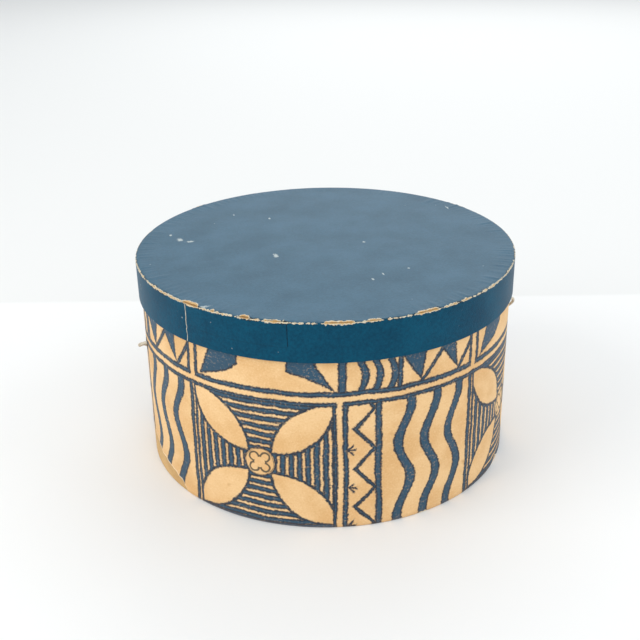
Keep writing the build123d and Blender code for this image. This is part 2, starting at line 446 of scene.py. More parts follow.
# ---------------------------------------------------------------- finishes
@dataclass(frozen=True)
class BoardFinish:
    """Raw strawboard: a yellow-brown felt with darker specks."""

    pale: tuple = srgb(214, 178, 124)
    dark: tuple = srgb(184, 143, 90)

    def colour(self, graph: Graph, where: Signal) -> Signal:
        """The board's colour at a place in metres."""
        felt = graph.cloud(where, 900.0, 4.0, 0.7)
        cloudy = graph.cloud(where, 60.0, 2.0)
        base = graph.mix(self.dark, self.pale, (felt * 0.7 + cloudy * 0.5).step(0.3, 0.85))
        specks = graph.cloud(where, 1700.0, 1.0).step(0.68, 0.74)
        return graph.mix(base, srgb(120, 86, 52), specks * 0.5)

    def material(self) -> bpy.types.Material:
        """The whole finish."""
        graph = Graph("kraft_board")
        where = graph.place()
        height = graph.cloud(where, 1200.0, 3.0, 0.7)
        return graph.finish(
            Base_Color=self.colour(graph, where),
            Roughness=0.88,
            Specular_IOR_Level=0.25,
            Normal=graph.bump(height, 0.00012, 0.7),
        )


@dataclass(frozen=True)
class PrintedPaper:
    """Aged cream paper with the block print pressed on it."""

    cream: tuple = srgb(236, 196, 142)
    warm: tuple = srgb(222, 176, 118)
    stain: tuple = srgb(196, 140, 78)
    ink: tuple = srgb(26, 74, 100)
    ink_dark: tuple = srgb(5, 34, 54)
    brown: tuple = srgb(44, 50, 48)
    core: tuple = srgb(246, 228, 196)

    def sheet(self, graph: Graph, flat: Signal) -> Signal:
        """The bare paper's colour."""
        blotch = graph.cloud(flat, 0.022, 3.0, 0.6)
        base = graph.mix(self.cream, self.warm, blotch.step(0.36, 0.68))
        fibre = graph.cloud(flat, 0.6, 4.0, 0.78)
        base = graph.mix(base, srgb(252, 226, 184), fibre.step(0.5, 0.72) * 0.4)
        base = graph.mix(base, self.stain, fibre.step(0.49, 0.27) * 0.4)
        spots = graph.cloud(flat, 0.055, 2.0, 0.6).step(0.66, 0.76)
        return graph.mix(base, self.stain, spots * 0.5)

    def material(self) -> bpy.types.Material:
        """The whole finish, with the bare board where the paper is torn off."""
        graph = Graph("print_paper")
        where = graph.place()
        u, v = graph.paper()
        flat = graph.vector(u, v)
        distance, drawing = BlockPrint().draw(graph, u, v)

        rough = graph.cloud(flat, 0.45, 4.0, 0.75) - 0.5
        inked = (distance + rough * 4.6).step(0.6, -0.6)
        missed = graph.cloud(flat, 0.4, 4.0, 0.8).step(0.53, 0.66)
        thin = graph.cloud(flat, 0.06, 3.0).step(0.35, 0.7)
        coverage = inked * (0.98 - missed * (0.14 + thin * 0.3))
        key = between(distance + rough * 1.2, -1.5, 0.1).step(0.35, -0.25)
        mottle = graph.cloud(flat, 0.28, 4.0, 0.7)
        ink = graph.mix(self.ink, self.ink_dark, (key * 0.65 + mottle * 0.55 - thin * 0.15).step(0.1, 1.0))

        sheet = self.sheet(graph, flat)
        colour = graph.mix(sheet, ink, coverage)
        colour = graph.mix(colour, self.brown, (drawing + rough * 0.3).step(0.2, -0.2) * 0.85)
        grime = (v + rough * 3.0).step(5.0, 0.0)
        colour = graph.mix(colour, srgb(150, 112, 72), grime * 0.2)

        torn = graph.stored("bare") + rough * 1.6
        colour = graph.mix(colour, self.core, between(torn, -1.1, 0.1).step(0.35, -0.1) * 0.85)
        bare = torn.step(-0.15, 0.15)
        colour = graph.mix(colour, BoardFinish().colour(graph, where), bare)

        relief = graph.cloud(flat, 0.9, 4.0, 0.7) - inked * 0.18
        return graph.finish(
            Base_Color=colour,
            Roughness=0.62 + inked * -0.1 + bare * 0.25,
            Specular_IOR_Level=0.3,
            Normal=graph.bump(relief, 0.00009, 0.8),
        )


@dataclass(frozen=True)
class LidPaper:
    """Embossed blue-green paper, scuffed and worn through along the lid's corner."""

    name: str
    colour: tuple
    shade: tuple
    roughness: float
    specular: float
    crack: float = 0.0
    overlap: float = 0.0
    scuffs: tuple[tuple[float, float, float, float], ...] = ()

    def emboss(self, graph: Graph, where: Signal) -> Signal:
        """The height of the pressed grain: small uneven pebbles."""
        bend = graph.value("ShaderNodeTexNoise", None, {"Vector": where, "Scale": 500.0}, "Color")
        pebbles = {"Vector": where + bend * 0.0007, "Scale": 950.0}
        cells = graph.value("ShaderNodeTexVoronoi", {"feature": "SMOOTH_F1"}, pebbles)
        return cells * -0.8 + graph.cloud(where, 1500.0, 3.0, 0.7) * 0.7

    def scuffed(self, graph: Graph, where: Signal) -> Signal:
        """Where small knocks have taken the colour off, from 0 to 1."""
        lift = graph.cloud(where, 800.0, 2.0, 0.7)
        specks = graph.cloud(where, 170.0, 2.0, 0.6).step(0.755, 0.79)
        marks = specks * 0.6
        x, y, _ = graph.parts(where * 1000.0)
        for across, along, long, wide in self.scuffs:
            spot = far((x - across) / long, (y - along) / wide)
            marks = marks.apply("MAXIMUM", (spot + (lift - 0.5) * 2.2).step(1.0, 0.45) * 0.75)
        return marks

    def material(self) -> bpy.types.Material:
        """The whole finish."""
        graph = Graph(self.name)
        where = graph.place()
        u, v = graph.paper()
        height = self.emboss(graph, where)
        worn = graph.stored("wear")
        rough = graph.cloud(where, 700.0, 3.0, 0.7) - 0.5

        cloudy = graph.cloud(where, 26.0, 3.0, 0.6)
        mottle = graph.cloud(where, 420.0, 3.0, 0.7)
        base = graph.mix(self.shade, self.colour, (cloudy * 0.55 + mottle * 0.6).step(0.3, 0.85))
        base = graph.mix(base, srgb(196, 204, 200), self.scuffed(graph, where))

        pale = srgb(226, 214, 186)
        if self.crack:
            wander = (graph.cloud(graph.vector(v * 0.16, 3.0), 1.0, 3.0) - 0.5) * 3.2
            split = abs(u - self.crack - wander) - 0.15 + rough * 0.9
            base = graph.mix(base, pale, split.step(0.35, -0.1) * 0.85)
        if self.overlap:
            # Painted shade: a near-black line along the overlap's edge stands for the shade at the step where
            # one paper strip lies over the other
            edge = (abs(u - self.overlap + (v - 170.0) * 0.02) - 0.2) & (167.5 - v)
            base = graph.mix(base, srgb(3, 22, 34), (edge + rough * 0.4).step(0.3, -0.2))
            # Painted shade: a faint dark line along the crease stands for the shade in its groove
            fold = abs(v - 166.5 + (u - self.overlap) * 0.02) - 0.2
            fold = fold & between(u, self.overlap - 84.0, self.overlap)
            base = graph.mix(base, srgb(8, 44, 62), (fold + rough).step(0.9, -0.3) * 0.25)

        flecks = graph.cloud(where, 260.0, 3.0, 0.75) - 0.5
        ragged = worn + rough * 2.4 + flecks * 4.5
        fringe = between(ragged, -0.25, 0.4).step(0.3, -0.15)
        # Painted shade: a patchy near-black band just inside the worn edge stands for the shade in the gap
        # where the paper comes away
        gap = between(ragged, -0.9, -0.3).step(0.3, -0.1) * graph.cloud(where, 90.0).step(0.45, 0.6)
        base = graph.mix(base, srgb(30, 26, 24), gap * 0.8)
        base = graph.mix(base, pale, fringe * 0.9)
        bare = ragged.step(0.2, 0.6)
        base = graph.mix(base, BoardFinish().colour(graph, where), bare)
        return graph.finish(
            Base_Color=base,
            Roughness=self.roughness + mottle * 0.14 + bare * 0.3,
            Specular_IOR_Level=self.specular,
            Normal=graph.bump(height, 0.00016, 0.75),
        )


@dataclass(frozen=True)
class PlainPaper:
    """A plain lining, tape or wrapping paper."""

    name: str
    pale: tuple
    dark: tuple
    stain: tuple
    roughness: float = 0.75

    def material(self) -> bpy.types.Material:
        """The whole finish."""
        graph = Graph(self.name)
        where = graph.place()
        fibre = graph.cloud(where, 1100.0, 4.0, 0.7)
        cloudy = graph.cloud(where, 14.0, 4.0, 0.6)
        base = graph.mix(self.dark, self.pale, (fibre * 0.35 + cloudy * 0.75).step(0.3, 0.75))
        spots = graph.cloud(where, 55.0, 3.0, 0.6).step(0.64, 0.78)
        base = graph.mix(base, self.stain, spots * 0.35)
        cockle = fibre * 0.15 + graph.cloud(where, 24.0, 2.0)
        return graph.finish(
            Base_Color=base,
            Roughness=self.roughness,
            Specular_IOR_Level=0.3,
            Normal=graph.bump(cockle, 0.0006, 0.5),
        )


@dataclass(frozen=True)
class MetalFinish:
    """Dull tarnished metal."""

    name: str
    clean: tuple
    tarnish: tuple

    def material(self) -> bpy.types.Material:
        """The whole finish."""
        graph = Graph(self.name)
        where = graph.place()
        spots = graph.cloud(where, 600.0, 4.0, 0.7)
        return graph.finish(
            Base_Color=graph.mix(self.clean, self.tarnish, spots.step(0.35, 0.65)),
            Metallic=1.0,
            Roughness=spots * 0.3 + 0.3,
            Normal=graph.bump(spots, 0.00004, 0.5),
        )


@dataclass(frozen=True)
class CordFinish:
    """Aged twisted cotton: fine fibres that run along each strand."""

    pale: tuple = srgb(232, 224, 206)
    dark: tuple = srgb(168, 152, 126)

    def material(self) -> bpy.types.Material:
        """The whole finish."""
        graph = Graph("cord_cotton")
        where = graph.place()
        fibre = graph.cloud(where, 2600.0, 3.0, 0.7)
        soil = graph.cloud(where, 45.0, 3.0, 0.6)
        base = graph.mix(self.dark, self.pale, (fibre * 0.5 + soil * 0.6).step(0.25, 0.75))
        return graph.finish(
            Base_Color=base,
            Roughness=0.9,
            Sheen_Weight=0.25,
            Normal=graph.bump(fibre, 0.00012, 0.8),
        )


# ---------------------------------------------------------------- mesh tools
def put_in_order(mesh: bmesh.types.BMesh) -> None:
    """Sorts a mesh's parts by place, because a spin leaves them in a new order on each run."""
    mesh.verts.sort(key=lambda vert: (vert.co.z * 1000 + vert.co.y) * 1000 + vert.co.x)
    mesh.verts.index_update()
    count = len(mesh.verts)

    def rank(part: bmesh.types.BMEdge | bmesh.types.BMFace) -> int:
        """A number that only this part's points give."""
        corners = sorted(vert.index for vert in part.verts)
        return (corners[0] * count + corners[1]) * count + corners[-1]

    mesh.edges.sort(key=rank)
    mesh.faces.sort(key=rank)


def spun(outline: Sequence[tuple[float, float]], steps: int, closed: bool = True) -> bmesh.types.BMesh:
    """Spins an outline about Z.

    Args:
        outline: points of (radius, height) in metres. Where it isn't closed, both ends are on the axis.
        steps: how many faces go round.
        closed: whether the last point joins the first.

    Returns:
        A closed mesh with its faces outwards.
    """
    mesh = bmesh.new()
    points = [mesh.verts.new((radius, 0, height)) for radius, height in outline]
    ends = points[1:] + points[:1] if closed else points[1:]
    edges = [mesh.edges.new(pair) for pair in zip(points, ends)]
    bmesh.ops.spin(
        mesh, geom=points + edges, cent=(0, 0, 0), axis=(0, 0, 1), dvec=(0, 0, 0),
        angle=math.tau, steps=steps, use_merge=True, use_duplicate=False,
    )
    bmesh.ops.remove_doubles(mesh, verts=mesh.verts[:], dist=1e-6)
    bmesh.ops.recalc_face_normals(mesh, faces=mesh.faces[:])
    put_in_order(mesh)
    return mesh


def arc(centre: tuple[float, float], radius: float, start: float, end: float, steps: int) -> list:
    """Points of an arc in the (radius, height) plane, with its angles in degrees."""
    turns = [math.radians(start + (end - start) * i / steps) for i in range(steps + 1)]
    return [(centre[0] + radius * math.cos(t), centre[1] + radius * math.sin(t)) for t in turns]


def spaced(start: float, end: float, step: float) -> list[float]:
    """Even places from start to end, about a step apart, with both ends."""
    count = max(1, round(abs(end - start) / step))
    return [start + (end - start) * i / count for i in range(count + 1)]


def wrap_paper(mesh: bmesh.types.BMesh, radius: float, along: Callable[[Vector], float]) -> None:
    """Lays the UV map "paper" on a spun mesh: metres round from the seam, and metres across.

    Args:
        mesh: the mesh.
        radius: the radius at which the distance round is measured.
        along: gives a point's distance across the strip.
    """
    layer = mesh.loops.layers.uv.new("paper")
    for face in mesh.faces:
        face.smooth = True
        middle = turn_from_seam(face.calc_center_median())
        for loop in face.loops:
            turn = turn_from_seam(loop.vert.co)
            turn += math.tau * round((middle - turn) / math.tau)
            loop[layer].uv = (radius * turn, along(loop.vert.co))


def store(mesh: bmesh.types.BMesh, name: str, measure: Callable[[Vector], float]) -> None:
    """Stores a number on every point of a mesh."""
    layer = mesh.verts.layers.float.new(name)
    for vert in mesh.verts:
        vert[layer] = measure(vert.co)


def piece(name: str, mesh: bmesh.types.BMesh, material: bpy.types.Material) -> bpy.types.Object:
    """Ends a bmesh as an object in the scene."""
    data = bpy.data.meshes.new(name)
    mesh.to_mesh(data)
    mesh.free()
    data.materials.append(material)
    made = bpy.data.objects.new(name, data)
    bpy.context.scene.collection.objects.link(made)
    return made


def dress(node: str, material: bpy.types.Material) -> None:
    """Gives a CAD node its material."""
    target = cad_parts[node]
    target.data.materials.clear()
    target.data.materials.append(material)


class Body(Enum):
    """The CAD bodies that pieces ride on."""

    BOX = "box"
    LID = "lid"


def settle(made: bpy.types.Object, body: Body, slot: str, *stands_for: str) -> None:
    """Ties a new piece to its body and hides the CAD nodes that it stands for."""
    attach(made, body.value)
    if stands_for:
        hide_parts(*stands_for)
    log.info("%s rides on %s with %d faces", made.name, body.value, len(made.data.polygons))


# ---------------------------------------------------------------- wear
@dataclass(frozen=True)
class Scar:
    """A stretch of the lid's corner where the paper is worn through.

    Angles are in degrees, the two widths and the lift in millimetres.
    """

    start: float
    end: float
    on_top: float
    on_rim: float
    lift: float = 0.0

    def share(self, angle: float) -> float:
        """How much of the scar is left at an angle, from 0 outside it to 1."""
        soft = min(1.2, (self.end - self.start) / 2)
        return eased(angle, self.start - soft / 2, self.start + soft) * eased(
            -angle, -self.end - soft / 2, -self.end + soft
        )


CORNER_SCARS = (
    Scar(178, 199, 0.6, 0.5),
    Scar(197, 213, 1.2, 0.7),
    Scar(212.5, 218.5, 3.6, 1.1, 1.3),
    Scar(218, 233, 0.5, 0.35),
    Scar(222.6, 224.2, 2.4, 0.6, 0.9),
    Scar(231.5, 235, 3.2, 1.2, 0.9),
    Scar(235, 238, 1.0, 0.5),
    Scar(238, 244.6, 1.3, 1.4, 0.5),
    Scar(246, 248, 0.5, 0.5),
    Scar(254, 262.6, 2.0, 1.6, 0.4),
    Scar(265, 270, 1.8, 1.1, 0.4),
    Scar(272.5, 274, 0.9, 0.6),
    Scar(276, 278.5, 0.8, 0.8),
    Scar(279, 286.5, 2.0, 1.4, 0.5),
    Scar(288, 293, 0.9, 0.6),
    Scar(294, 298.5, 1.4, 1.0),
    Scar(302.5, 311, 0.8, 0.6),
    Scar(311, 331, 0.4, 0.35),
    Scar(20, 27, 1.3, 0.9, 0.3),
    Scar(52, 55, 0.8, 0.7),
    Scar(88, 101, 0.7, 0.6),
    Scar(121, 126, 1.9, 1.0, 0.6),
    Scar(149, 153, 0.7, 0.9),
)


@cache
def scars_at(angle: float) -> tuple[tuple[float, float, float, float], ...]:
    """The scars that reach an angle, as their (width on the top, on the rim, share, lift)."""
    slow = noise.noise(Vector((angle * 1.3, 0.0, 5.0)))
    quick = noise.noise(Vector((angle * 4.0, 0, 9)))
    jag = 1.0 + 0.55 * slow + 0.3 * quick
    rim_share = 0.7
    shares = [(scar, scar.share(angle)) for scar in CORNER_SCARS]
    return tuple(
        (scar.on_top * jag, scar.on_rim * jag * rim_share, share, scar.lift * share)
        for scar, share in shares
        if share > 0
    )


def corner_wear(angle: float, across: float) -> float:
    """How deep inside a worn patch a place on the lid's papers is, in millimetres.

    Args:
        angle: the place's angle in degrees.
        across: its distance from the corner in millimetres, below zero on the top.

    Returns:
        Above zero where the paper is gone.
    """
    faint = 0.15 + 1.2 * noise.noise(Vector((angle * 0.9, 3.0, 3.0)))
    deepest = max(-3.0, min(faint, 0.5) - abs(across))
    for on_top, on_rim, share, _ in scars_at(round(angle, 2)):
        width = on_top if across < 0 else on_rim
        deepest = max(deepest, (width + 1.2) * share - 1.2 - abs(across))
    return deepest


def corner_lift(angle: float) -> float:
    """How far the top paper's edge curls up at an angle, in millimetres."""
    return max((lift for _, _, _, lift in scars_at(round(angle, 2))), default=0.0)


# ---------------------------------------------------------------- the lid
@dataclass
class Lid:
    """The lid's papers, modelled as thin closed skins over the CAD boards."""

    steps: int = 720
    corner_round: float = 0.8 * MM
    paper: float = 0.3 * MM
    top_inset: float = 0.9 * MM
    overlap_angle: float = 244.9
    crack_angle: float = 213.7
    low: Vector = field(default_factory=lambda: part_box("lid_rim_paper")[0])
    high: Vector = field(default_factory=lambda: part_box("lid_top_paper")[1])
    radius: float = field(default_factory=lambda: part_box("lid_rim_paper")[1].x)

    def round_from_seam(self, angle: float) -> float:
        """Millimetres round the rim from the paper seam to an angle."""
        return self.radius / MM * math.radians((angle - SEAM_ANGLE) % 360)

    def across(self, point: Vector) -> float:
        """Millimetres from the corner, down the rim or, below zero, in over the top."""
        reach = math.hypot(point.x, point.y)
        down, inwards = (self.high.z - self.paper - point.z) / MM, (self.radius - reach) / MM
        return down if down > inwards else -inwards

    def rim_outline(self) -> list[tuple[float, float]]:
        """The rim paper's section: over the top board, down the rim and round its bottom edge."""
        outer, top, bottom = self.radius, self.high.z - self.paper, self.low.z
        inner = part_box("lid_corner_tape")[1].x - self.paper
        thick, corner, foot = self.paper, self.corner_round, 0.5 * MM
        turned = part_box("lid_rim_board")[0].z + 11.7 * MM
        flange = [(x, top) for x in spaced(outer - 10 * MM, outer - corner - 0.5 * MM, 0.7 * MM)]
        bend = arc((outer - corner, top - corner), corner, 90, 0, 4)
        near = [(outer, z) for z in spaced(top - corner - 0.5 * MM, top - 6 * MM, 0.7 * MM)]
        rest = [(outer, z) for z in spaced(top - 7.5 * MM, bottom + foot + 0.5 * MM, 1.7 * MM)]
        hem = arc((outer - foot, bottom + foot), foot, 0, -90, 3)
        hem += arc((inner + foot, bottom + foot), foot, -90, -180, 3)
        lap = [(inner, z) for z in spaced(bottom + 2 * MM, turned, 2.5 * MM)]
        back = [
            (inner + thick, turned),
            (inner + thick, bottom + thick),
            (outer - thick, bottom + thick),
            (outer - thick, top - thick),
            (outer - 10 * MM, top - thick),
        ]
        return flange + bend + near + rest + hem + lap + back

    def shape_rim(self, mesh: bmesh.types.BMesh) -> None:
        """Sinks the worn patches, raises the paper's overlap and lets the rim wander a little."""
        seam = math.radians(self.overlap_angle)
        crease_height, crease_length = 0.1665, 84
        rim_degree = 2.93  # millimetres round the rim in one degree
        for vert in mesh.verts:
            reach = math.hypot(vert.co.x, vert.co.y)
            outside = reach > self.radius - 0.4 * self.paper
            above = vert.co.z > self.high.z - 1.4 * self.paper
            angle = angle_of(vert.co)
            worn = eased(corner_wear(angle, self.across(vert.co)), 0.0, 0.9)
            if above and not outside:
                vert.co.z -= 0.2 * MM * worn
                continue
            if not outside:
                continue
            behind = (seam - math.radians(angle)) * self.radius / MM
            lap = 0.28 * math.exp(-max(0.0, behind) / 26) if 0 <= behind < 90 else 0.0
            lap *= eased(vert.co.z, 0.163, 0.168)
            crease = 0.14 * math.exp(-(((vert.co.z - crease_height) / (0.9 * MM)) ** 2))
            crease *= 0 <= behind < crease_length
            split = 0.2 * math.exp(-(((angle - self.crack_angle) * rim_degree / 0.8) ** 2))
            wander = 0.12 * grain(vert.co, 0.03, 2.0)
            fray = 0.25 * eased(-vert.co.z, -0.1548, -0.1541) * max(0.0, grain(vert.co, 0.004, 8.0))
            push = (lap + wander + fray - crease - split - 0.22 * worn) * MM
            vert.co.xy *= (reach + max(push, -0.26 * MM)) / reach

    def rim_paper(self) -> bpy.types.Object:
        """Makes the rim's paper."""
        mesh = spun(self.rim_outline(), self.steps)
        store(mesh, "wear", lambda point: corner_wear(angle_of(point), self.across(point)))
        wrap_paper(mesh, self.radius, lambda point: point.z)
        self.shape_rim(mesh)
        finish = LidPaper(
            "lid_blue_paper", srgb(2, 78, 104), srgb(0, 54, 78), 0.36, 0.1,
            crack=self.round_from_seam(self.crack_angle), overlap=self.round_from_seam(self.overlap_angle),
        )
        made = piece("rim_paper", mesh, finish.material())
        settle(made, Body.LID, "lid_blue_paper", "lid_rim_paper")
        return made

    def top_outline(self) -> list[tuple[float, float]]:
        """The top paper's section, from the axis out along its face and back underneath."""
        edge, top, bottom = self.radius - self.top_inset, self.high.z, self.high.z - self.paper + 0.02 * MM
        middle = [(x, top) for x in spaced(0.0, edge - 28 * MM, 7 * MM)]
        border = [(x, top) for x in spaced(edge - 26.5 * MM, edge - 6.5 * MM, 1.6 * MM)]
        border += [(x, top) for x in spaced(edge - 5.5 * MM, edge - 0.2 * MM, 0.65 * MM)]
        rim = [(edge, top - 0.1 * MM), (edge, bottom)]
        under = [(x, bottom) for x in (edge - 2 * MM, edge - 5 * MM, edge - 9 * MM, edge - 14 * MM, 0.0)]
        return middle + border + rim + under

    def pleats(self, point: Vector) -> float:
        """The ridges of the rim paper's pleats under the top paper, in millimetres."""
        reach = math.hypot(point.x, point.y)
        turn = math.atan2(point.y, point.x)
        count = 168
        uneven = noise.noise(Vector((math.cos(turn) * 4, math.sin(turn) * 4, 1.0)))
        place = turn * count / math.tau + 1.6 * uneven
        saw = place - math.floor(place)
        fold = eased(saw, 0.0, 0.25) * (1 - eased(saw, 0.35, 1.0))
        cell = Vector((math.floor(place) * 1.7, 0.0, 4.0))
        strength = max(0.0, 0.35 + noise.noise(cell))
        length = 17 + 6 * noise.noise(cell + Vector((0, 7, 0)))
        inwards = (self.radius - reach) / MM
        return 0.75 * fold * strength * eased(-inwards, -length - 3, -length + 8) * eased(inwards, 0.2, 2.0)

    def shape_top(self, mesh: bmesh.types.BMesh) -> None:
        """Gives the top paper its pleats, blisters, sunken scars and curled edges."""
        middle = self.high.z - 0.5 * self.paper
        for vert in mesh.verts:
            reach = math.hypot(vert.co.x, vert.co.y)
            inwards = (self.radius - self.top_inset - reach) / MM
            angle = angle_of(vert.co)
            curl = corner_lift(angle) * eased(-inwards, -6.0, 0.0) * (0.7 + 0.6 * grain(vert.co, 0.006, 3.0))
            rise = max(0.0, curl)
            if vert.co.z > middle:
                rise += self.pleats(vert.co) + 0.22 * (1 + grain(vert.co, 0.045, 6.0))
                rise += 0.1 * max(0.0, grain(vert.co, 0.011, 12.0))
                rise *= eased(inwards, -0.5, 3.0) if not curl else 1.0
                rise -= 0.2 * eased(corner_wear(angle, -inwards), 0.1, 0.9)
            vert.co.z += rise * MM

    def top_paper(self) -> bpy.types.Object:
        """Makes the top's paper."""
        mesh = spun(self.top_outline(), self.steps, closed=False)
        store(mesh, "wear", lambda p: corner_wear(angle_of(p), (math.hypot(p.x, p.y) - self.radius) / MM))
        wrap_paper(mesh, self.radius, lambda point: math.hypot(point.x, point.y))
        self.shape_top(mesh)
        finish = LidPaper(
            "lid_top_paper", srgb(62, 102, 124), srgb(36, 78, 98), 0.5, 0.42, scuffs=self.scuff_places()
        )
        made = piece("top_paper", mesh, finish.material())
        settle(made, Body.LID, "lid_top_paper", "lid_top_paper")
        return made

    @staticmethod
    def scuff_places() -> tuple[tuple[float, float, float, float], ...]:
        """Small knocks on the top, as (x, y, half width, half height) in millimetres."""
        seen = ((-53, 71, 1.2, 2.6), (-122, 10, 4.5, 2.2), (-132, 15, 3.0, 4.5), (35, 3, 1.2, 2.0),
                (-43, -28, 2.5, 5.5), (39, -84, 1.2, 2.4), (48, -73, 0.9, 2.8), (-142, 27, 1.6, 2.6),
                (70, -61, 1.4, 1.2), (-96, -136, 7.0, 2.0), (120, 96, 0.8, 6.0), (-88, 82, 0.8, 2.4))
        turn = Matrix.Rotation(math.radians(-15), 2)
        return tuple((*(turn @ Vector((x, y))), wide, high) for x, y, wide, high in seen)

    def build(self) -> None:
        """Makes the lid's papers."""
        self.rim_paper()
        self.top_paper()


# ---------------------------------------------------------------- the box
@dataclass
class Box:
    """The wall's printed paper, modelled as a thin closed skin over the CAD boards."""

    steps: int = 600
    low: Vector = field(default_factory=lambda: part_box("body_print_paper")[0])
    high: Vector = field(default_factory=lambda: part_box("body_print_paper")[1])
    paper: float = 0.3 * MM
    torn: tuple[tuple[float, float], ...] = (
        (166, -3), (170, 9), (174, 20), (178, 27), (184, 25), (189, 20.5), (191, 16.5), (194, 15),
        (200, 12.5), (204.5, 8), (206.3, 3), (207, -3),
    )
    chips: tuple[tuple[float, float, float], ...] = (
        (26, 5.0, 4.0), (61, 3.0, 2.2), (112, 6.5, 6.0), (140, 3.0, 2.5), (283, 2.6, 1.2), (322, 4.0, 3.5),
    )

    @property
    def radius(self) -> float:
        """The outside of the wall."""
        return self.high.x

    def torn_height(self, angle: float) -> float:
        """How high above the base the paper is torn off at an angle, in millimetres."""
        for (a, low), (b, high) in zip(self.torn, self.torn[1:]):
            if a <= angle < b:
                return low + (high - low) * (angle - a) / (b - a)
        return max(
            (height - abs(angle - centre) / half * (height + 2) for centre, half, height in self.chips),
            default=-3.0,
        )

    def bare(self, point: Vector) -> float:
        """How deep inside a torn patch a point is, in millimetres."""
        height = (point.z - self.low.z) / MM
        jag = 1.8 * grain(point, 0.006, 1.0) + 0.7 * grain(point, 0.002, 2.0)
        return min(4.0, max(-4.0, self.torn_height(angle_of(point)) + jag - height))

    def outline(self) -> list[tuple[float, float]]:
        """The section: up inside, over the top edge, down the wall and under the base."""
        outer, top, bottom, thick = self.radius, self.high.z, self.low.z, self.paper
        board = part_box("body_wall_lining")[1].x
        inner, hem = board, 0.6 * MM
        lap = [(inner, z) for z in spaced(top - 12 * MM, top - hem - 0.4 * MM, 2.5 * MM)]
        over = arc((inner + hem, top - hem), hem, 180, 90, 3) + arc((outer - hem, top - hem), hem, 90, 0, 3)
        wall = [(outer, z) for z in spaced(top - hem - 0.6 * MM, bottom + 30 * MM, 3.0 * MM)]
        wall += [(outer, z) for z in spaced(bottom + 28.8 * MM, bottom + hem + 0.4 * MM, 1.2 * MM)]
        foot = arc((outer - hem, bottom + hem), hem, 0, -90, 3)
        under = [(x, bottom) for x in spaced(outer - 2 * MM, outer - 14 * MM, 3 * MM)]
        back = [
            (outer - 14 * MM, bottom + thick),
            (outer - thick, bottom + thick),
            (outer - thick, top - thick),
            (inner + thick, top - thick),
            (inner + thick, top - 12 * MM),
        ]
        return lap + over + wall + foot + under + back

    def across(self, point: Vector) -> float:
        """A point's distance up the paper from the base, on over the top edge and down inside."""
        inwards = self.radius - math.hypot(point.x, point.y)
        if point.z < self.low.z + 0.5 * MM and inwards > 0.5 * MM:
            return -inwards
        if inwards > 1.5 * MM:
            return self.high.z + inwards + (self.high.z - point.z)
        return point.z + max(0.0, inwards - self.paper)

    def shape(self, mesh: bmesh.types.BMesh) -> None:
        """Sinks the torn patches and lets the wall bow and dent a little."""
        for vert in mesh.verts:
            reach = math.hypot(vert.co.x, vert.co.y)
            if reach < self.radius - 0.4 * self.paper:
                continue
            free = 1 - eased(vert.co.z, 0.148, 0.156)
            sway = 0.35 * (1 + grain(vert.co, 0.07, 4.0)) * free
            cockle = 0.1 * grain(vert.co, 0.018, 9.0) * free
            torn = 0.24 * eased(self.bare(vert.co), -0.2, 0.6)
            lap = 0.25 * math.exp(-turn_from_seam(vert.co) * self.radius / MM / 8)
            push = max(-0.26, sway * 0.6 + cockle + lap * free - torn)
            vert.co.xy *= (reach + push * MM) / reach

    def wall_paper(self) -> bpy.types.Object:
        """Makes the printed paper."""
        mesh = spun(self.outline(), self.steps)
        store(mesh, "bare", self.bare)
        wrap_paper(mesh, self.radius, self.across)
        self.shape(mesh)
        made = piece("print_paper", mesh, PrintedPaper().material())
        settle(made, Body.BOX, "print_paper", "body_print_paper")
        return made

    def build(self) -> None:
        """Makes the wall's paper."""
        self.wall_paper()


